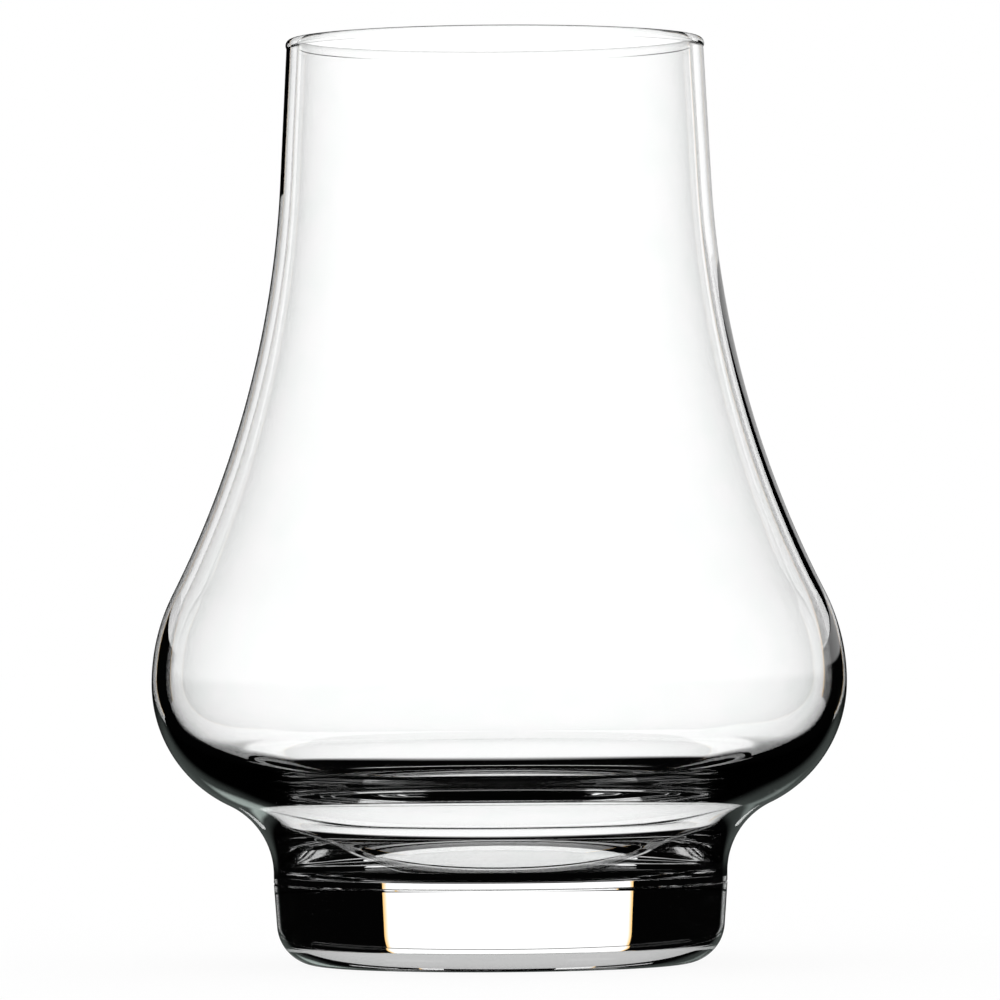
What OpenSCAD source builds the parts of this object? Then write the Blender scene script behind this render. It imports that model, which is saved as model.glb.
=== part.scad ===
// Stemless tasting snifter: a blown glass bowl fused to a thick pressed glass foot.
// Both pieces are turned about the Z axis. The glass stands on z = 0, in millimetres.

/* [Overall] */
// Height from the table to the top of the rim
height = 100; // [83:0.5:120]
// Outer diameter of the mouth
mouth_d = 45.1; // [37.5:0.1:54.5]
// Outer diameter of the belly at its widest line
belly_d = 75.1; // [62:0.1:91]
// Diameter of the neck and the foot where they meet at the seam
foot_d = 49; // [40.5:0.1:59]

/* [Bowl outside] */
// Lean of the upright mouth towards the axis, in degrees
mouth_lean = 3; // [0:0.1:5]
// Length of the upright mouth, down its side
mouth_length = 14.5; // [6:0.5:22]
// Radius of the side above the belly's widest line
belly_upper_r = 21.4; // [17:0.1:26]
// Radius of the side below the belly's widest line
belly_lower_r = 14.5; // [12:0.1:18]
// Radius of the hollow curve between the belly and the neck
neck_curve_r = 8.3; // [6.5:0.1:10.5]
// Height of the straight neck above the seam
neck_h = 1; // [0.5:0.1:3]

/* [Bowl inside] */
// Thickness of the bead that the melted rim forms
rim_bead_d = 1.3; // [1.2:0.05:2]
// Wall at the mouth
mouth_wall = 1.1; // [0.9:0.05:1.15]
// Wall at the belly's widest line
belly_wall = 1.55; // [1.2:0.05:2.4]
// Height of the inner belly's widest line above the outer one
inner_rise = 0.25; // [0:0.05:1.5]
// Wall of the neck
neck_wall = 2.95; // [2.4:0.05:4]
// Radius of the inner side above the belly's widest line
inner_upper_r = 20.6; // [16:0.1:25]
// Slope of the well in the neck, in degrees from upright
well_slope = 37; // [25:0.5:45]
// Radius of the curve where the well meets the floor
well_curve_r = 3.6; // [2:0.1:5]
// Least glass between the floor and the seam
floor_wall = 0.55; // [0.4:0.05:2]
// Rise of the floor's dome at the axis
floor_rise = 2.9; // [1:0.05:4]

/* [Foot] */
// Height of the foot, from the table to the seam
foot_h = 8.8; // [7:0.1:12]
// Lean of the foot's side, in degrees, smaller towards the table
foot_draft = 4; // [0:0.1:6]
// Radius of the foot's bottom edge
foot_edge_r = 4.5; // [2.5:0.1:5.5]
// Width of the ring that the glass stands on
rest_ring_w = 1.8; // [1:0.1:6]
// Depth of the hollow under the foot
hollow_depth = 0.5; // [0.2:0.05:3]
// Width of the small bevel on each side of the seam
seam_bevel = 0.12; // [0.05:0.01:0.4]

/* [Hidden] */
// Steps in each curve of an outline
arc_steps = 20;
$fn = 128;

mouth_r = mouth_d / 2;
belly_r = belly_d / 2;
foot_r = foot_d / 2;
bead_r = rim_bead_d / 2;
bead_c = [mouth_r - mouth_wall / 2, height - bead_r];
// Where the bead meets the wall's two faces, in degrees below its middle, and that height
bead_angle = acos(mouth_wall / rim_bead_d);
mouth_z = bead_c.y - bead_r * sin(bead_angle);

// Length of the side that a right triangle has beside its hypotenuse and its other side
function other_side(hypotenuse, side) = sqrt(hypotenuse * hypotenuse - side * side);
// Direction of a vector, in degrees
function heading(v) = atan2(v.y, v.x);
// Points along an arc after its first point
function arc(c, r, from, to) =
    [for (i = [1:arc_steps]) let (a = from + (to - from) * i / arc_steps) c + r * [cos(a), sin(a)]];
// The same points from last to first
function reversed(points) = [for (i = [len(points) - 1:-1:0]) points[i]];

// A side from below the upright mouth down to the belly's widest line: a flare that bends outwards, and
// the belly's upper curve. The flare takes the one radius that runs smoothly into the mouth and the belly.
function side_points(top_r, side_r, side_z, curve_r) =
    let (down = [sin(mouth_lean), -cos(mouth_lean)])
    let (out = [cos(mouth_lean), sin(mouth_lean)])
    let (start = [top_r, mouth_z] + mouth_length * down)
    let (curve_c = [side_r - curve_r, side_z])
    let (gap = start - curve_c)
    let (flare_r = (gap * gap - curve_r * curve_r) / (2 * (curve_r - gap * out)))
    let (flare_c = start + flare_r * out)
    concat([start],
        arc(flare_c, flare_r, 180 + mouth_lean, 360 + heading(curve_c - flare_c)),
        arc(curve_c, curve_r, heading(flare_c - curve_c), 0));

// Outside of the lower bowl: the belly's lower curve runs into the neck's hollow curve
belly_to_neck = belly_r - foot_r;
lower_reach = belly_lower_r + neck_curve_r;
neck_c = [foot_r + neck_curve_r, foot_h + neck_h];
belly_z = neck_c.y + other_side(lower_reach, lower_reach - belly_to_neck);
belly_lower_c = [belly_r - belly_lower_r, belly_z];

// Inside of the lower bowl: the shoulder follows the neck's hollow curve at the neck's wall, and the inner
// belly takes the one radius that runs smoothly into it
inner_belly_r = belly_r - belly_wall;
inner_belly_z = belly_z + inner_rise;
shoulder_r = neck_curve_r + neck_wall;
shoulder_gap = [inner_belly_r, inner_belly_z] - neck_c;
shoulder_rise = shoulder_gap * shoulder_gap - shoulder_r * shoulder_r;
inner_lower_r = shoulder_rise / (2 * (shoulder_gap.x + shoulder_r));
inner_lower_c = [inner_belly_r - inner_lower_r, inner_belly_z];

// The well: a cone from the shoulder down to a curve that lies on the floor
floor_z = foot_h + floor_wall;
well_side = [-cos(well_slope), sin(well_slope)];
well_top = neck_c + shoulder_r * well_side;
well_curve_z = floor_z + well_curve_r;
well_length = (well_top.y + well_curve_r * sin(well_slope) - well_curve_z) / cos(well_slope);
well_end = well_top - well_length * [sin(well_slope), cos(well_slope)];
well_curve_c = well_end + well_curve_r * well_side;

// The floor: a low dome that runs smoothly into the well's curve
dome_reach = (pow(well_curve_c.x, 2) + pow(floor_rise, 2)) / (2 * floor_rise);
dome_r = dome_reach - well_curve_r;
dome_c = [0, floor_z + floor_rise - dome_r];

// The foot's bottom edge touches its leaning side and the table
edge_side_r = foot_r - (foot_h - foot_edge_r) * tan(foot_draft);
edge_c = [edge_side_r - foot_edge_r / cos(foot_draft), foot_edge_r];
hollow_r = edge_c.x - rest_ring_w;
hollow_sphere_r = (pow(hollow_r, 2) + pow(hollow_depth, 2)) / (2 * hollow_depth);
hollow_c = [0, hollow_depth - hollow_sphere_r];

bowl_outside = concat(
    side_points(mouth_r, belly_r, belly_z, belly_upper_r),
    arc(belly_lower_c, belly_lower_r, 0, heading(neck_c - belly_lower_c)),
    arc(neck_c, neck_curve_r, heading(belly_lower_c - neck_c), 180),
    [[foot_r, foot_h + seam_bevel], [foot_r - seam_bevel, foot_h], [0, foot_h]]);

bowl_inside = concat(
    [[0, floor_z + floor_rise]],
    arc(dome_c, dome_r, 90, heading(well_curve_c - dome_c)),
    arc(well_curve_c, well_curve_r, heading(dome_c - well_curve_c), -well_slope),
    [well_top],
    arc(neck_c, shoulder_r, 180 - well_slope, heading(inner_lower_c - neck_c)),
    arc(inner_lower_c, inner_lower_r, heading(neck_c - inner_lower_c), 0),
    reversed(side_points(mouth_r - mouth_wall, inner_belly_r, inner_belly_z, inner_upper_r)),
    [[mouth_r - mouth_wall, mouth_z]],
    arc(bead_c, bead_r, 180 + bead_angle, -bead_angle));

foot_outline = concat(
    [[0, foot_h], [foot_r - seam_bevel, foot_h], [foot_r, foot_h - seam_bevel]],
    [edge_c + foot_edge_r * [cos(foot_draft), -sin(foot_draft)]],
    arc(edge_c, foot_edge_r, -foot_draft, -90),
    [[hollow_r, 0]],
    arc(hollow_c, hollow_sphere_r, heading([hollow_r, 0] - hollow_c), 90));

// The blown bowl with its beaded rim
module bowl() {
    color("azure", 0.4) rotate_extrude() polygon(concat(bowl_outside, bowl_inside));
}

// The pressed foot
module foot() {
    color("lightcyan", 0.5) rotate_extrude() polygon(foot_outline);
}

bowl();
foot();
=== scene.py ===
"""Looks of a stemless tasting snifter: a blown bowl fused to a thick pressed foot, in bright-field light.

Sizes are in metres and angles in degrees. Both pieces are turned about Z, and the glass stands on z = 0.
"""

import logging
import math
from dataclasses import dataclass, field
from enum import Enum

import bpy
from mathutils import Matrix, Vector


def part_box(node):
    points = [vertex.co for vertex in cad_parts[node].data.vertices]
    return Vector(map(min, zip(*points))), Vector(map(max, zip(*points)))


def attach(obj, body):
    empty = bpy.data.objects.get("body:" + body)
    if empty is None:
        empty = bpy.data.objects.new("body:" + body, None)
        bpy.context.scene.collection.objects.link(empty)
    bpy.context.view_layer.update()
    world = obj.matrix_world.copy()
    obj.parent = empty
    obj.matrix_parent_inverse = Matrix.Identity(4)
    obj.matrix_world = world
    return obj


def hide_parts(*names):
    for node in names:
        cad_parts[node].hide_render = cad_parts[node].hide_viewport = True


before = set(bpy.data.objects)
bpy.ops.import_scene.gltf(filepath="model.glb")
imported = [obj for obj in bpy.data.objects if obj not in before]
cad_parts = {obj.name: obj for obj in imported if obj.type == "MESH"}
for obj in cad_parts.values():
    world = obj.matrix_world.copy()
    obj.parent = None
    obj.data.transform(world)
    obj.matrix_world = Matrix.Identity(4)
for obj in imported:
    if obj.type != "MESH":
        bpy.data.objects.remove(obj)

LOG = logging.getLogger("snifter")
MM = 0.001
BODY = "root"
WHITE = (1.0, 1.0, 1.0, 1.0)
WARM = (1.0, 0.93, 0.84, 1.0)
COOL = (0.86, 1.0, 0.94, 1.0)
AMBER = (1.0, 0.62, 0.22, 1.0)
CARD_Y = 0.35
SHADE_Y = 0.349
CARD_LEVEL = 1.2
BLACK = 0.0
Color = tuple[float, float, float, float]
Socket = bpy.types.NodeSocket


class Piece(Enum):
    """The pieces of the glass, by the CAD node that each one replaces."""

    BOWL = "bowl"
    FOOT = "foot"


class Slot(Enum):
    """The record's material slots."""

    BOWL = "bowl_glass"
    FOOT = "foot_glass"


class Shading(Enum):
    """The material index of a piece's faces."""

    GLASS = 0
    WELD = 1


class Sight(Enum):
    """The rays that a part of the studio is shown to."""

    CLEAR = "a ray that has met one mirror at most"
    ACROSS_ALL = "a ray that has crossed glass and met no mirror"
    ACROSS_BOWL = "such a ray that has crossed the bowl's two walls"
    ACROSS_FOOT = "such a ray that has crossed the foot alone"
    WALL = "a ray that has left a wall by its outside again, mirrored by its inside"
    MIRRORED = "a ray that the outside of the glass has mirrored"


def heading(v: Vector) -> float:
    """Direction of a flat vector, in degrees."""
    return math.degrees(math.atan2(v.y, v.x))


def polar(angle: float) -> Vector:
    """Flat unit vector at an angle in degrees."""
    return Vector((math.cos(math.radians(angle)), math.sin(math.radians(angle))))


class Lathe:
    """A pen that draws an outline in the XZ plane with edit-mode tools, and turns it about Z.

    Points are flat vectors: the distance from the axis, and the height.
    """

    turns: int = 256
    weld_gap: float = 1e-6
    sharp_angle: float = 20.0
    support: float = 0.3 * MM
    start_size: float = 0.1 * MM

    def __init__(self, name: str, start: Vector) -> None:
        """Starts the outline as a small plane merged to one vertex.

        Args:
            name: Name of the new piece.
            start: First point of the outline.
        """
        bpy.ops.object.select_all(action="DESELECT")
        bpy.ops.mesh.primitive_plane_add(size=self.start_size, location=(start.x, 0.0, start.y))
        self.piece: bpy.types.Object = bpy.context.active_object
        self.piece.name = name
        self.piece.data.name = name
        bpy.ops.object.transform_apply(location=True, rotation=True, scale=True)
        bpy.ops.object.mode_set(mode="EDIT")
        bpy.ops.mesh.select_all(action="SELECT")
        bpy.ops.mesh.merge(type="CENTER")
        self.at: Vector = start.copy()

    def line(self, *points: Vector) -> None:
        """Extrudes straight stretches to each point in turn, with support points that keep long ones flat.

        Args:
            points: Ends of the stretches, in order.
        """
        for point in points:
            start, reach = self.at, (point - self.at).length
            shares = [1.0]
            if reach > 3 * self.support:
                shares = [self.support / reach, 1 - self.support / reach, 1.0]
            for share in shares:
                goal = start.lerp(point, share)
                step = goal - self.at
                bpy.ops.mesh.extrude_vertices_move(TRANSFORM_OT_translate={"value": (step.x, 0.0, step.y)})
                self.at = goal

    def arc(self, centre: Vector, start: float, end: float, step: float = 1.6) -> None:
        """Spins the last vertex about a centre.

        Args:
            centre: Centre of the arc.
            start: Angle at which the arc begins, where the pen already is.
            end: Angle at which the arc ends.
            step: Largest angle between two points.
        """
        sweep = end - start
        bpy.ops.mesh.spin(
            steps=max(1, math.ceil(abs(sweep) / step)),
            angle=math.radians(sweep),
            center=(centre.x, 0.0, centre.y),
            axis=(0.0, 1.0, 0.0),
            use_auto_merge=False,
        )
        self.at = centre + polar(end) * (self.at - centre).length

    def turn(self) -> bpy.types.Object:
        """Turns the finished outline about Z and closes the seam and the poles.

        Returns:
            The finished piece, smooth apart from its sharp edges.
        """
        bpy.ops.mesh.select_all(action="SELECT")
        bpy.ops.mesh.spin(
            steps=self.turns,
            angle=math.tau,
            center=(0.0, 0.0, 0.0),
            axis=(0.0, 0.0, 1.0),
            use_auto_merge=False,
        )
        bpy.ops.mesh.select_all(action="SELECT")
        bpy.ops.mesh.remove_doubles(threshold=self.weld_gap)
        bpy.ops.mesh.dissolve_degenerate(threshold=self.weld_gap)
        bpy.ops.mesh.normals_make_consistent(inside=False)
        bpy.ops.object.mode_set(mode="OBJECT")
        bpy.ops.object.shade_smooth_by_angle(angle=math.radians(self.sharp_angle))
        return self.piece


@dataclass
class Bowl:
    """The blown bowl, from its beaded rim to the weld on the foot."""

    height: float
    belly_r: float
    neck_r: float
    seam_z: float
    mouth_r: float = 22.55 * MM
    mouth_lean: float = 3.0
    mouth_length: float = 14.5 * MM
    belly_upper_r: float = 21.4 * MM
    belly_lower_r: float = 14.5 * MM
    neck_curve_r: float = 8.3 * MM
    neck_h: float = 1.0 * MM
    rim_bead_d: float = 1.3 * MM
    mouth_wall: float = 1.1 * MM
    belly_wall: float = 1.55 * MM
    inner_rise: float = 0.25 * MM
    neck_wall: float = 2.95 * MM
    inner_upper_r: float = 20.6 * MM
    well_slope: float = 37.0
    well_curve_r: float = 3.6 * MM
    floor_wall: float = 0.55 * MM
    floor_rise: float = 2.9 * MM
    seam_bevel: float = 0.12 * MM
    flare_step: float = 0.6
    bead_step: float = 8.0
    dome_step: float = 0.6
    neck_c: Vector = field(init=False)
    belly_z: float = field(init=False)
    bead_c: Vector = field(init=False)
    bead_angle: float = field(init=False)
    mouth_z: float = field(init=False)

    def __post_init__(self) -> None:
        """Works out where the rim bead, the neck and the belly lie."""
        bead_r = self.rim_bead_d / 2
        self.bead_c = Vector((self.mouth_r - self.mouth_wall / 2, self.height - bead_r))
        self.bead_angle = math.degrees(math.acos(self.mouth_wall / self.rim_bead_d))
        self.mouth_z = self.bead_c.y - bead_r * math.sin(math.radians(self.bead_angle))
        reach = self.belly_lower_r + self.neck_curve_r
        self.neck_c = Vector((self.neck_r + self.neck_curve_r, self.seam_z + self.neck_h))
        across = reach - (self.belly_r - self.neck_r)
        self.belly_z = self.neck_c.y + math.sqrt(reach**2 - across**2)

    @classmethod
    def from_frame(cls) -> "Bowl":
        """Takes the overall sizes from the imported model.

        Returns:
            A bowl of those sizes.
        """
        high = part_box(Piece.BOWL.value)[1]
        foot_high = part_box(Piece.FOOT.value)[1]
        return cls(height=high.z, belly_r=high.x, neck_r=foot_high.x, seam_z=foot_high.z)

    def side(
        self, top_r: float, side_r: float, side_z: float, curve_r: float
    ) -> tuple[Vector, Vector, Vector]:
        """Places a side's flare between the upright mouth and the belly's upper curve.

        Args:
            top_r: Radius of the side at the top of the mouth.
            side_r: Radius of the side at the belly's widest line.
            side_z: Height of that line.
            curve_r: Radius of the belly's upper curve.

        Returns:
            The lower end of the mouth, the flare's centre and the upper curve's centre.
        """
        lean = polar(self.mouth_lean)
        start = Vector((top_r, self.mouth_z)) + self.mouth_length * Vector((lean.y, -lean.x))
        curve_c = Vector((side_r - curve_r, side_z))
        gap = start - curve_c
        flare_r = (gap.length_squared - curve_r**2) / (2 * (curve_r - gap.dot(lean)))
        return start, start + flare_r * lean, curve_c

    def draw_outside(self, pen: Lathe) -> None:
        """Draws from the weld's edge up the neck, the belly and the flare to the rim.

        Args:
            pen: The pen that draws the bowl.
        """
        belly_c = Vector((self.belly_r - self.belly_lower_r, self.belly_z))
        _, flare_c, curve_c = self.side(self.mouth_r, self.belly_r, self.belly_z, self.belly_upper_r)
        pen.line(
            Vector((self.neck_r - self.seam_bevel, self.seam_z)),
            Vector((self.neck_r, self.seam_z + self.seam_bevel)),
            Vector((self.neck_r, self.neck_c.y)),
        )
        pen.arc(self.neck_c, 180.0, heading(belly_c - self.neck_c))
        pen.arc(belly_c, heading(self.neck_c - belly_c), 0.0)
        pen.arc(curve_c, 0.0, heading(flare_c - curve_c))
        pen.arc(flare_c, 360.0 + heading(curve_c - flare_c), 180.0 + self.mouth_lean, self.flare_step)
        pen.line(Vector((self.mouth_r, self.mouth_z)))

    def draw_inside(self, pen: Lathe) -> None:
        """Draws from the rim down the inner flare, the belly and the well to the floor's middle.

        Args:
            pen: The pen that draws the bowl.
        """
        belly_r = self.belly_r - self.belly_wall
        belly_z = self.belly_z + self.inner_rise
        mouth_r = self.mouth_r - self.mouth_wall
        top, flare_c, curve_c = self.side(mouth_r, belly_r, belly_z, self.inner_upper_r)
        shoulder_r = self.neck_curve_r + self.neck_wall
        gap = Vector((belly_r, belly_z)) - self.neck_c
        lower_r = (gap.length_squared - shoulder_r**2) / (2 * (gap.x + shoulder_r))
        lower_c = Vector((belly_r - lower_r, belly_z))
        floor_z = self.seam_z + self.floor_wall
        side = polar(180.0 - self.well_slope)
        well_top = self.neck_c + shoulder_r * side
        rise = well_top.y + self.well_curve_r * (side.y - 1) - floor_z
        well_end = well_top + Vector((rise * side.y / side.x, -rise))
        well_c = well_end + self.well_curve_r * side
        dome_r = (well_c.x**2 + self.floor_rise**2) / (2 * self.floor_rise) - self.well_curve_r
        dome_c = Vector((0.0, floor_z + self.floor_rise - dome_r))
        pen.line(top)
        pen.arc(flare_c, 180.0 + self.mouth_lean, 360.0 + heading(curve_c - flare_c), self.flare_step)
        pen.arc(curve_c, heading(flare_c - curve_c), 0.0)
        pen.arc(lower_c, 0.0, heading(self.neck_c - lower_c))
        pen.arc(self.neck_c, heading(lower_c - self.neck_c), 180.0 - self.well_slope)
        pen.line(well_end)
        pen.arc(well_c, -self.well_slope, heading(dome_c - well_c))
        pen.arc(dome_c, heading(well_c - dome_c), 90.0, self.dome_step)

    def build(self) -> bpy.types.Object:
        """Turns the bowl as one closed wall.

        Returns:
            The bowl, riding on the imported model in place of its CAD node.
        """
        pen = Lathe("bowl_glass", Vector((0.0, self.seam_z)))
        self.draw_outside(pen)
        pen.arc(self.bead_c, -self.bead_angle, 180.0 + self.bead_angle, self.bead_step)
        self.draw_inside(pen)
        return place(pen.turn(), Piece.BOWL)

    def dress(self, piece: bpy.types.Object, glass: bpy.types.Material, weld: bpy.types.Material) -> None:
        """Gives the bowl its glass and its weld face."""
        dress(piece, glass, weld, self.seam_z)


@dataclass
class Foot:
    """The pressed foot, from the weld down to the ring that it stands on."""

    neck_r: float
    seam_z: float
    draft: float = 4.0
    edge_r: float = 4.5 * MM
    rest_ring_w: float = 1.8 * MM
    hollow_depth: float = 0.5 * MM
    seam_bevel: float = 0.12 * MM
    hollow_step: float = 0.4

    @classmethod
    def from_frame(cls) -> "Foot":
        """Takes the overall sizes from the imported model.

        Returns:
            A foot of those sizes.
        """
        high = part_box(Piece.FOOT.value)[1]
        return cls(neck_r=high.x, seam_z=high.z)

    def build(self) -> bpy.types.Object:
        """Turns the foot as one closed solid.

        Returns:
            The foot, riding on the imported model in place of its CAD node.
        """
        slope = math.radians(self.draft)
        side_r = self.neck_r - (self.seam_z - self.edge_r) * math.tan(slope)
        edge_c = Vector((side_r - self.edge_r / math.cos(slope), self.edge_r))
        hollow_r = edge_c.x - self.rest_ring_w
        sphere_r = (hollow_r**2 + self.hollow_depth**2) / (2 * self.hollow_depth)
        hollow_c = Vector((0.0, self.hollow_depth - sphere_r))
        pen = Lathe("foot_glass", Vector((0.0, self.seam_z)))
        pen.line(
            Vector((self.neck_r - self.seam_bevel, self.seam_z)),
            Vector((self.neck_r, self.seam_z - self.seam_bevel)),
            edge_c + self.edge_r * polar(-self.draft),
        )
        pen.arc(edge_c, -self.draft, -90.0)
        pen.line(Vector((hollow_r, 0.0)))
        pen.arc(hollow_c, heading(Vector((hollow_r, 0.0)) - hollow_c), 90.0, self.hollow_step)
        return place(pen.turn(), Piece.FOOT)

    def dress(self, piece: bpy.types.Object, glass: bpy.types.Material, weld: bpy.types.Material) -> None:
        """Gives the foot its glass and its weld face."""
        dress(piece, glass, weld, self.seam_z)


def place(piece: bpy.types.Object, node: Piece) -> bpy.types.Object:
    """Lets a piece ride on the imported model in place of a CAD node.

    Args:
        piece: The finished piece.
        node: The CAD node that it stands for.

    Returns:
        The same piece.
    """
    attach(piece, BODY)
    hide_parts(node.value)
    LOG.info("%s: %d faces", piece.name, len(piece.data.polygons))
    return piece


def dress(
    piece: bpy.types.Object, glass: bpy.types.Material, weld: bpy.types.Material, seam_z: float
) -> None:
    """Gives a piece its glass, and the weld's own material where the two pieces are one.

    Args:
        piece: The piece to dress.
        glass: Material of its outer faces.
        weld: Material of the face that is fused to the other piece.
        seam_z: Height of that face.
    """
    close = 0.01 * MM
    piece.data.materials.append(glass)
    piece.data.materials.append(weld)
    for face in piece.data.polygons:
        fused = all(abs(piece.data.vertices[v].co.z - seam_z) < close for v in face.vertices)
        face.material_index = (Shading.WELD if fused else Shading.GLASS).value


class Nodes:
    """A short hand for the nodes of one tree."""

    def __init__(self, tree: bpy.types.NodeTree) -> None:
        """Keeps the tree and empties it.

        Args:
            tree: The node tree to fill.
        """
        self.tree = tree
        tree.nodes.clear()

    def add(self, kind: str, **inputs: object) -> bpy.types.Node:
        """Adds a node and sets or links its inputs.

        Args:
            kind: Type name of the node.
            inputs: Values or sockets by input name, with _ for a space, or i and a number for an index.

        Returns:
            The new node.
        """
        node = self.tree.nodes.new(kind)
        for name, value in inputs.items():
            indexed = name[0] == "i" and name[1:].isdigit()
            self.feed(node.inputs[int(name[1:]) if indexed else name.replace("_", " ")], value)
        return node

    def feed(self, socket: Socket, value: object) -> None:
        """Links a socket to another, or sets its value.

        Args:
            socket: The input to feed.
            value: An output to link, or a plain value.
        """
        if isinstance(value, Socket):
            self.tree.links.new(value, socket)
        else:
            socket.default_value = value

    def math(self, operation: str, *values: object) -> Socket:
        """Adds a Math node.

        Args:
            operation: Name of the operation.
            values: Values or sockets of its inputs, in order.

        Returns:
            The node's output.
        """
        node = self.tree.nodes.new("ShaderNodeMath")
        node.operation = operation
        for socket, value in zip(node.inputs, values):
            self.feed(socket, value)
        return node.outputs[0]

    def ramp(self, value: object, low: object, high: object) -> Socket:
        """Adds a smooth step from 0 to 1.

        Args:
            value: What the step reads.
            low: Where it is 0.
            high: Where it is 1.

        Returns:
            The step's output.
        """
        node = self.tree.nodes.new("ShaderNodeMapRange")
        node.interpolation_type = "SMOOTHSTEP"
        for name, item in (("Value", value), ("From Min", low), ("From Max", high)):
            self.feed(node.inputs[name], item)
        return node.outputs["Result"]

    def mix(self, factor: object, first: object, second: object) -> Socket:
        """Adds a colour mix.

        Args:
            factor: Share of the second colour.
            first: The first colour.
            second: The second colour.

        Returns:
            The mixed colour.
        """
        node = self.tree.nodes.new("ShaderNodeMix")
        node.data_type = "RGBA"
        inputs = [s for s in node.inputs if s.enabled]
        for socket, value in zip(inputs, (factor, first, second)):
            self.feed(socket, value)
        return next(s for s in node.outputs if s.enabled)


def group(
    name: str, inputs: dict[str, float], outputs: dict[str, str]
) -> tuple[Nodes, bpy.types.Node, bpy.types.Node]:
    """Starts a shader node group with named sockets.

    Args:
        name: Name of the group.
        inputs: Number inputs with their default values.
        outputs: Outputs with their socket types.

    Returns:
        The group's nodes, its input node and its output node.
    """
    tree = bpy.data.node_groups.new(name, "ShaderNodeTree")
    for label, value in inputs.items():
        tree.interface.new_socket(label, in_out="INPUT", socket_type="NodeSocketFloat").default_value = value
    for label, kind in outputs.items():
        tree.interface.new_socket(label, in_out="OUTPUT", socket_type=kind)
    nodes = Nodes(tree)
    return nodes, nodes.add("NodeGroupInput"), nodes.add("NodeGroupOutput")


def ripple_group() -> bpy.types.NodeTree:
    """Builds the slow waves and fine cords that molten glass keeps, and the scuffs of its rest ring.

    Returns:
        A group that puts out the waves' height, the scuffs' roughness and the streaks' mask.
    """
    streak_edges = (0.35, 0.75)
    scratch_edges = (0.45, 0.7)
    scratch_scale = 2400.0
    number = "NodeSocketFloat"
    nodes, source, sink = group(
        "glass surface",
        {
            "Wave Scale": 60.0,
            "Cord Scale": 200.0,
            "Cord Share": 0.2,
            "Scuff Top": 0.0,
            "Scuff Roughness": 0.2,
        },
        {"Height": number, "Roughness": number, "Streak": number},
    )
    place_of = nodes.add("ShaderNodeTexCoord").outputs["Object"]
    wave = nodes.add("ShaderNodeTexNoise", Vector=place_of, Scale=source.outputs["Wave Scale"], Detail=1.0)
    cord = nodes.add("ShaderNodeTexNoise", Vector=place_of, Scale=source.outputs["Cord Scale"], Detail=0.0)
    fine = nodes.math("MULTIPLY", cord.outputs["Fac"], source.outputs["Cord Share"])
    nodes.feed(sink.inputs["Height"], nodes.math("ADD", wave.outputs["Fac"], fine))
    nodes.feed(sink.inputs["Streak"], nodes.ramp(cord.outputs["Fac"], *streak_edges))
    height = nodes.add("ShaderNodeSeparateXYZ", Vector=place_of).outputs["Z"]
    scratch = nodes.add("ShaderNodeTexNoise", Vector=place_of, Scale=scratch_scale, Detail=2.0)
    low = nodes.math("LESS_THAN", height, source.outputs["Scuff Top"])
    worn = nodes.math("MULTIPLY", low, nodes.ramp(scratch.outputs["Fac"], *scratch_edges))
    nodes.feed(sink.inputs["Roughness"], nodes.math("MULTIPLY", worn, source.outputs["Scuff Roughness"]))
    return nodes.tree


@dataclass(frozen=True)
class Glass:
    """A clear glass with slow ripples."""

    name: str
    tint: Color
    streak: Color
    ior: float
    wave_scale: float
    wave_height: float
    cord_scale: float
    scuff_top: float

    def material(self, surface: bpy.types.NodeTree) -> bpy.types.Material:
        """Builds the material.

        Args:
            surface: The shared group of ripples and scuffs.

        Returns:
            The finished material.
        """
        made = bpy.data.materials.new(self.name)
        made.use_nodes = True
        made.cycles.use_bump_map_correction = False
        nodes = Nodes(made.node_tree)
        wear = nodes.add("ShaderNodeGroup")
        wear.node_tree = surface
        wear.inputs["Wave Scale"].default_value = self.wave_scale
        wear.inputs["Cord Scale"].default_value = self.cord_scale
        wear.inputs["Scuff Top"].default_value = self.scuff_top
        bump = nodes.add(
            "ShaderNodeBump", Strength=1.0, Distance=self.wave_height, Height=wear.outputs["Height"]
        )
        shader = nodes.add(
            "ShaderNodeBsdfPrincipled",
            Base_Color=nodes.mix(wear.outputs["Streak"], self.tint, self.streak),
            Roughness=wear.outputs["Roughness"],
            IOR=self.ior,
            Transmission_Weight=1.0,
            Normal=bump.outputs["Normal"],
        )
        nodes.add("ShaderNodeOutputMaterial", Surface=shader.outputs["BSDF"])
        return made


@dataclass(frozen=True)
class Weld:
    """The face inside the glass where bowl and foot have melted into one, which shows nothing."""

    name: str = "weld"

    def material(self) -> bpy.types.Material:
        """Builds the material.

        Returns:
            The finished material.
        """
        made = bpy.data.materials.new(self.name)
        made.use_nodes = True
        nodes = Nodes(made.node_tree)
        shader = nodes.add("ShaderNodeBsdfPrincipled", Alpha=0.0)
        nodes.add("ShaderNodeOutputMaterial", Surface=shader.outputs["BSDF"])
        return made


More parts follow.
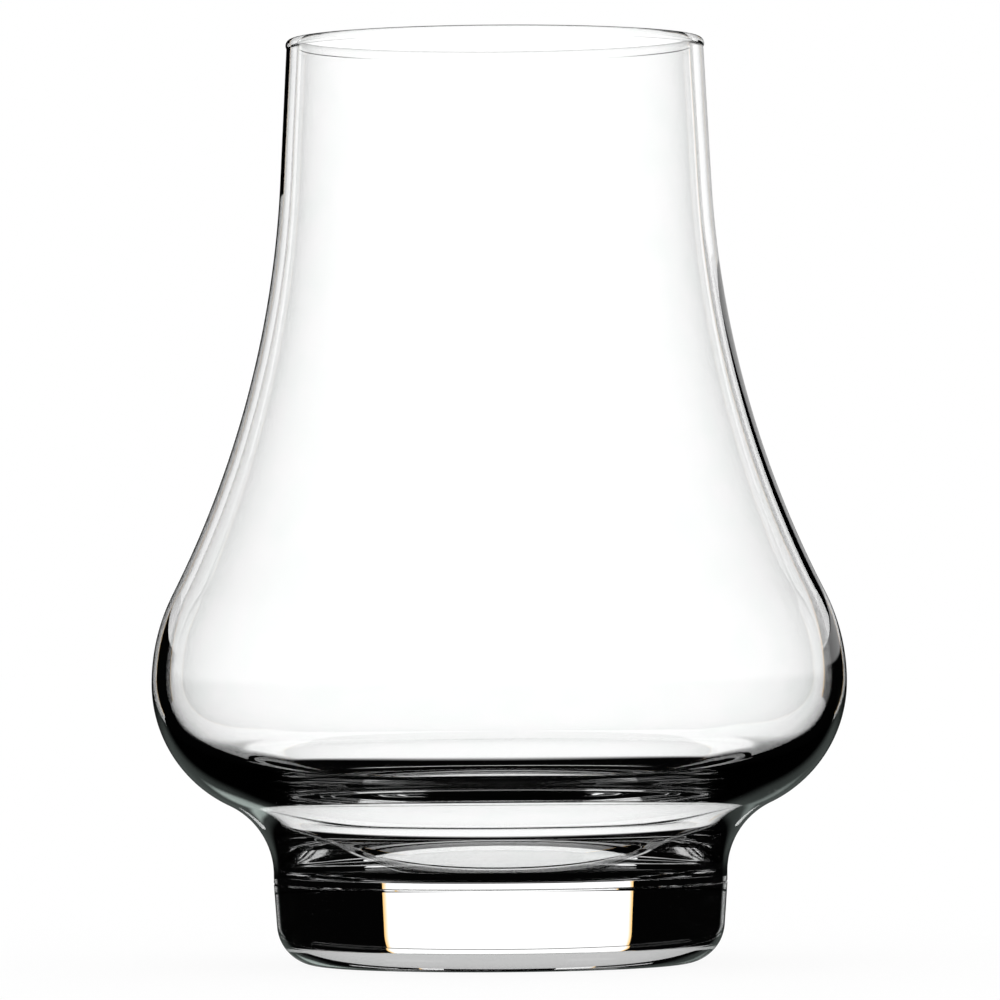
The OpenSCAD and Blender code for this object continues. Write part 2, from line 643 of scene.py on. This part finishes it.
def sights(nodes: Nodes) -> dict[Sight, Socket]:
    """Adds the masks of the rays that a part of the studio can be shown to.

    Args:
        nodes: Nodes of the tree that needs the masks.

    Returns:
        A socket for each kind of ray: 1 for the rays of that kind and 0 for the others.
    """
    path = nodes.add("ShaderNodeLightPath")
    crossings = path.outputs["Transmission Depth"]
    mirrors = path.outputs["Glossy Depth"]
    # Each limit lies half way between two counts: a ray crosses the bowl's two walls in four steps
    mirrored = nodes.math("GREATER_THAN", mirrors, 0.5)
    across = nodes.math("SUBTRACT", 1.0, mirrored)
    inside = nodes.math("GREATER_THAN", crossings, 0.5)
    walls = nodes.math("GREATER_THAN", crossings, 3.5)
    outside = nodes.math("SUBTRACT", 1.0, inside)
    one = nodes.math("SUBTRACT", 1.0, walls)
    return {
        Sight.CLEAR: nodes.math("LESS_THAN", mirrors, 1.5),
        Sight.ACROSS_ALL: across,
        Sight.ACROSS_BOWL: nodes.math("MULTIPLY", across, walls),
        Sight.ACROSS_FOOT: nodes.math("MULTIPLY", across, one),
        Sight.WALL: nodes.math("MULTIPLY", mirrored, nodes.math("MULTIPLY", inside, one)),
        Sight.MIRRORED: nodes.math("MULTIPLY", mirrored, outside),
    }


@dataclass(frozen=True)
class Panel:
    """A lit or black card that only the glass sees, upright behind it or lying on the table.

    The two rises lift the right end of its lower and upper edge.
    """

    name: str
    low: tuple[float, float, float]
    high: tuple[float, float, float]
    level: float
    fade: float = 0.0
    rim: float = 0.0
    rim_color: Color = WHITE
    low_rise: float = 0.0
    high_rise: float = 0.0
    sight: Sight = Sight.CLEAR

    def build(self) -> None:
        """Stands or lays the card, and hides it from the camera, the floor and the glass's outer mirror."""
        low, high = Vector(self.low), Vector(self.high)
        size, middle, upright = high - low, (low + high) / 2, low.y == high.y
        bpy.ops.object.select_all(action="DESELECT")
        bpy.ops.mesh.primitive_plane_add(
            size=1.0, location=middle, rotation=(math.pi / 2 if upright else 0.0, 0.0, 0.0)
        )
        card = bpy.context.active_object
        card.name = self.name
        card.scale = (size.x, size.z if upright else size.y, 1.0)
        bpy.ops.object.transform_apply(location=True, rotation=True, scale=True)
        for corner in card.data.vertices:
            if corner.co.x > middle.x:
                corner.co.z += self.high_rise if corner.co.z > middle.z else self.low_rise
        card.visible_camera = False
        card.visible_diffuse = False
        card.visible_glossy = False
        card.visible_shadow = False
        card.data.materials.append(self.material("Z" if upright else "Y", low.z if upright else low.y))

    def material(self, axis: str, start: float) -> bpy.types.Material:
        """Builds the card's light.

        Args:
            axis: Axis along which the card fades in.
            start: Where on that axis the card begins.

        Returns:
            A light that fades in from the card's lower or nearer edge and has tinted sides.
        """
        made = bpy.data.materials.new(self.name)
        made.use_nodes = True
        made.cycles.emission_sampling = "NONE"
        nodes = Nodes(made.node_tree)
        place_of = nodes.add("ShaderNodeTexCoord").outputs["Object"]
        at = nodes.add("ShaderNodeSeparateXYZ", Vector=place_of).outputs
        shown = sights(nodes)[self.sight]
        if self.fade:
            shown = nodes.math("MULTIPLY", shown, nodes.ramp(at[axis], start, start + self.fade))
        tone: object = WHITE
        if self.rim:
            left = nodes.math("SUBTRACT", at["X"], self.low[0])
            right = nodes.math("SUBTRACT", self.high[0], at["X"])
            inner = nodes.ramp(nodes.math("MINIMUM", left, right), 0.0, self.rim)
            tone = nodes.mix(inner, self.rim_color, WHITE)
        glow = nodes.add("ShaderNodeEmission", Color=tone, Strength=self.level)
        gone = nodes.add("ShaderNodeBsdfTransparent")
        both = nodes.add("ShaderNodeMixShader", i1=gone.outputs["BSDF"], i2=glow.outputs["Emission"])
        nodes.feed(both.inputs["Fac"], shown)
        nodes.add("ShaderNodeOutputMaterial", Surface=both.outputs["Shader"])
        return made


@dataclass(frozen=True)
class Sector:
    """A lit part of the far surroundings, between two heights, that only some of the glass's rays see."""

    azimuth: float
    half_width: float
    low: float
    high: float
    sight: Sight = Sight.ACROSS_ALL
    soft: float = 4.0
    level: float = 1.18
    tint: Color = WHITE


@dataclass
class Studio:
    """The white surroundings, the cards that the glass sees, the floor and the camera."""

    # The white behind the glass, and the shades that draw its outline, which only its own rays see.
    # The white cards make up for what two walls take, so that white shows as white through the bowl.
    panels: tuple[Panel, ...] = (
        Panel(
            name="back card",
            low=(-0.150, CARD_Y, -0.05),
            high=(0.127, CARD_Y, 0.29),
            level=CARD_LEVEL,
            rim=8 * MM,
            rim_color=AMBER,
        ),
        Panel("left card", (-0.330, CARD_Y, 0.060), (-0.150, CARD_Y, 0.250), CARD_LEVEL, sight=Sight.WALL),
        Panel("right card", (0.127, CARD_Y, 0.060), (0.330, CARD_Y, 0.250), CARD_LEVEL, sight=Sight.WALL),
        Panel("left shade", (-0.080, SHADE_Y, -0.050), (0.0, SHADE_Y, 0.104), BLACK, sight=Sight.WALL),
        Panel(
            name="upper left shade",
            low=(-0.140, SHADE_Y, 0.1085),
            high=(0.0, SHADE_Y, 0.200),
            level=BLACK,
            low_rise=-12 * MM,
            sight=Sight.WALL,
        ),
        Panel(
            name="right shade",
            low=(0.0, SHADE_Y, 0.050),
            high=(0.175, SHADE_Y, 0.084),
            level=BLACK,
            high_rise=23 * MM,
            sight=Sight.WALL,
        ),
        Panel("lower right shade", (0.0, SHADE_Y, -0.050), (0.085, SHADE_Y, 0.050), BLACK, sight=Sight.WALL),
        Panel(
            name="foot light",
            low=(-0.012, 0.018, -0.01 * MM),
            high=(0.012, 0.040, -0.01 * MM),
            level=0.6,
            sight=Sight.WALL,
        ),
        Panel(
            name="table card",
            low=(-0.095, 0.048, 0.0),
            high=(0.085, CARD_Y, 0.0),
            level=CARD_LEVEL,
            fade=20 * MM,
            sight=Sight.ACROSS_ALL,
        ),
    )
    # The far surroundings by azimuth, half width and lower and upper height. Azimuth 0 is behind the glass.
    sectors: tuple[Sector, ...] = (
        # Dim warm light from below, in the foot
        Sector(0.0, 181.0, -91.0, -28.0, Sight.ACROSS_FOOT, level=0.07, tint=WARM),
        # White to the sides and behind the eye, for the other views
        Sector(180.0, 155.0, -34.0, 32.0, Sight.ACROSS_BOWL),
        Sector(-90.0, 36.0, -70.0, 32.0, Sight.ACROSS_BOWL),
        Sector(-90.0, 12.0, -70.0, 32.0),
        Sector(-45.0, 12.0, -33.0, -20.0, soft=2.0),
        Sector(155.0, 75.0, -70.0, 32.0),
        # Cool sheen on the underside of the belly
        Sector(0.0, 24.0, -28.0, -5.0, Sight.MIRRORED, level=0.12, tint=COOL),
        Sector(-12.0, 5.0, -24.0, -17.0, Sight.MIRRORED, soft=2.0, level=0.95, tint=COOL),
        Sector(11.0, 4.0, -18.0, -14.0, Sight.MIRRORED, soft=2.0, level=0.4, tint=COOL),
        # Pale upper right outline
        Sector(29.0, 30.0, 2.4, 6.5, Sight.MIRRORED, soft=0.3, level=0.55),
        # The room that the outside mirrors
        Sector(180.0, 138.0, 1.0, 89.0, Sight.MIRRORED, soft=2.0, level=1.0),
    )
    dark: float = 0.001
    floor_r: float = 3.0
    floor_sides: int = 96
    floor_drop: float = 0.02 * MM
    floor_glow: float = 0.92
    eye: Vector = field(default_factory=lambda: Vector((0.0, -0.88, 0.0405)))
    aim: Vector = field(default_factory=lambda: Vector((0.000216, 0.0, 0.0501)))
    roll: float = -0.4
    sensor: float = 36.0
    frame_width: float = 0.1081
    bounces: int = 12

    def sector_group(self) -> bpy.types.NodeTree:
        """Builds the mask of one sector.

        Returns:
            A group that puts out 1 in the sector and 0 outside it.
        """
        nodes, source, sink = group(
            "studio sector",
            {"Azimuth": 0.0, "Half Width": 0.4, "Low": -0.4, "High": 0.4, "Soft": 0.05},
            {"Mask": "NodeSocketFloat"},
        )
        ray = nodes.add("ShaderNodeTexCoord").outputs["Generated"]
        turned = nodes.add("ShaderNodeVectorRotate", Vector=ray, Angle=source.outputs["Azimuth"])
        turned.rotation_type = "Z_AXIS"
        parts = nodes.add("ShaderNodeSeparateXYZ", Vector=turned.outputs["Vector"])
        across = nodes.math("ABSOLUTE", nodes.math("ARCTAN2", parts.outputs["X"], parts.outputs["Y"]))
        above = nodes.math("ARCSINE", parts.outputs["Z"])
        soft = source.outputs["Soft"]

        def edge(value: Socket, at: Socket, way: float) -> Socket:
            """Adds a soft step at an edge.

            Args:
                value: What the step reads.
                at: Middle of the edge.
                way: 1 for a step upwards and -1 for one downwards.

            Returns:
                The step's output.
            """
            inner = nodes.math("MULTIPLY_ADD", soft, way, at)
            outer = nodes.math("MULTIPLY_ADD", soft, -way, at)
            return nodes.ramp(value, outer, inner)

        width = edge(across, source.outputs["Half Width"], -1.0)
        bottom = edge(above, source.outputs["Low"], 1.0)
        top = edge(above, source.outputs["High"], -1.0)
        nodes.feed(sink.inputs["Mask"], nodes.math("MULTIPLY", width, nodes.math("MULTIPLY", bottom, top)))
        return nodes.tree

    def light(self) -> None:
        """Makes the surroundings: white to the eye and the floor, dark to the glass outside the sectors."""
        world = bpy.data.worlds.new("studio")
        bpy.context.scene.world = world
        world.use_nodes = True
        nodes = Nodes(world.node_tree)
        sector_tree = self.sector_group()
        path = nodes.add("ShaderNodeLightPath")
        masks = sights(nodes)
        seen: object = (self.dark,) * 3 + (1.0,)
        for sector in self.sectors:
            mask = nodes.add("ShaderNodeGroup")
            mask.node_tree = sector_tree
            for label, angle in (
                ("Azimuth", sector.azimuth),
                ("Half Width", sector.half_width),
                ("Low", sector.low),
                ("High", sector.high),
                ("Soft", sector.soft),
            ):
                mask.inputs[label].default_value = math.radians(angle)
            glow = tuple(sector.level * part for part in sector.tint[:3]) + (1.0,)
            seen = nodes.mix(nodes.math("MULTIPLY", mask.outputs["Mask"], masks[sector.sight]), seen, glow)
        plain = nodes.math("MAXIMUM", path.outputs["Is Camera Ray"], path.outputs["Is Diffuse Ray"])
        shown = nodes.mix(plain, seen, WHITE)
        back = nodes.add("ShaderNodeBackground", Color=shown, Strength=1.0)
        nodes.add("ShaderNodeOutputWorld", Surface=back.outputs["Background"])

    def lay_floor(self) -> None:
        """Lays a plain white floor that keeps the glass's soft shadow."""
        bpy.ops.object.select_all(action="DESELECT")
        bpy.ops.mesh.primitive_circle_add(
            vertices=self.floor_sides,
            radius=self.floor_r,
            fill_type="NGON",
            location=(0.0, 0.0, -self.floor_drop),
        )
        floor = bpy.context.active_object
        floor.name = "floor"
        bpy.ops.object.transform_apply(location=True, rotation=True, scale=True)
        floor.visible_transmission = False
        floor.visible_glossy = False
        made = bpy.data.materials.new("white floor")
        made.use_nodes = True
        nodes = Nodes(made.node_tree)
        paper = nodes.add("ShaderNodeBsdfDiffuse", Color=(1 - self.floor_glow,) * 3 + (1.0,))
        glow = nodes.add("ShaderNodeEmission", Color=WHITE, Strength=self.floor_glow)
        both = nodes.add("ShaderNodeAddShader", i0=paper.outputs["BSDF"], i1=glow.outputs["Emission"])
        nodes.add("ShaderNodeOutputMaterial", Surface=both.outputs["Shader"])
        floor.data.materials.append(made)

    def set_camera(self) -> None:
        """Sets the camera level with the lower bowl, at the photograph's angle and scale."""
        data = bpy.data.cameras.new("camera")
        data.sensor_width = self.sensor
        data.lens = self.sensor * -self.eye.y / self.frame_width
        camera = bpy.data.objects.new("camera", data)
        bpy.context.scene.collection.objects.link(camera)
        turn = (self.aim - self.eye).to_track_quat("-Z", "Y").to_matrix()
        turn = turn @ Matrix.Rotation(math.radians(self.roll), 3, "Z")
        camera.matrix_world = Matrix.Translation(self.eye) @ turn.to_4x4()
        bpy.context.scene.camera = camera

    def build(self) -> None:
        """Sets up the light, the floor, the camera and how colours are shown."""
        scene = bpy.context.scene
        scene.view_settings.view_transform = "Standard"
        scene.cycles.max_bounces = self.bounces
        scene.cycles.transmission_bounces = self.bounces
        scene.cycles.glossy_bounces = self.bounces
        scene.cycles.transparent_max_bounces = 2 * self.bounces
        self.light()
        self.lay_floor()
        for panel in self.panels:
            panel.build()
        self.set_camera()


def main() -> None:
    """Builds the studio, the bowl and the foot, and dresses them."""
    logging.basicConfig(level=logging.INFO, format="%(name)s: %(message)s")
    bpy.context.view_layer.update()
    Studio().build()
    surface = ripple_group()
    weld = Weld().material()
    bowl_glass = Glass(
        name="bowl glass",
        tint=WHITE,
        streak=(0.985, 0.995, 0.99, 1.0),
        ior=1.518,
        wave_scale=60.0,
        wave_height=0.006 * MM,
        cord_scale=240.0,
        scuff_top=-1.0,
    )
    foot_glass = Glass(
        name="foot glass",
        tint=WHITE,
        streak=(0.975, 0.99, 0.982, 1.0),
        ior=1.518,
        wave_scale=60.0,
        wave_height=0.004 * MM,
        cord_scale=200.0,
        scuff_top=0.05 * MM,
    )
    bowl = Bowl.from_frame()
    bowl.dress(bowl.build(), bowl_glass.material(surface), weld)
    foot = Foot.from_frame()
    foot.dress(foot.build(), foot_glass.material(surface), weld)


if __name__ == "__main__":
    main()
